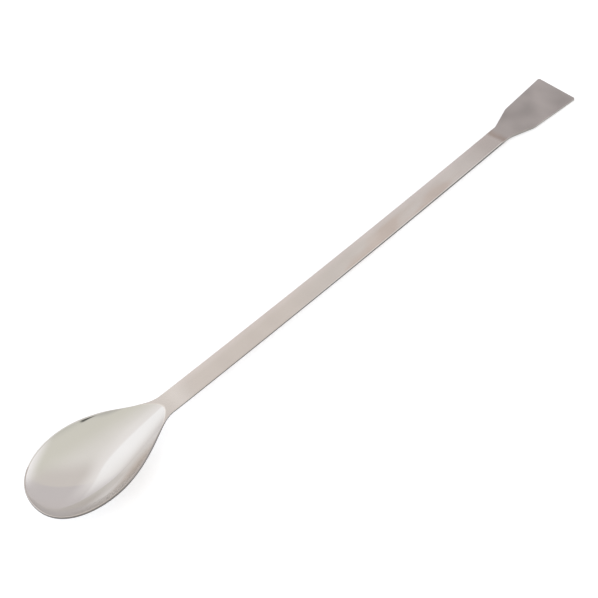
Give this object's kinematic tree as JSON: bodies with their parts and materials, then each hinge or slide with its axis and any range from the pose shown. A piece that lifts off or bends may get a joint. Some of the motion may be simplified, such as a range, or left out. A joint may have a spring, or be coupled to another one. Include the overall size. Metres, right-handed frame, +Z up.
{
  "type": "lab spatula",
  "caption": "Double-ended steel laboratory spatula: an egg-shaped spoon bowl, a long flat handle and a flat blade that widens to its end.",
  "frame": {"origin": "on the bench, under the middle of the length", "axes": "+X along the handle from the tip of the bowl to the end of the blade, +Z up, out of the open side of the bowl"},
  "size_m": [0.3, 0.0332, 0.0092],
  "materials": {
    "steel": "polished: mirror bright in the bowl, fine satin on the handle and the blade"
  },
  "bodies": {
    "root": {"spatula": "steel"}
  },
  "joints": []
}
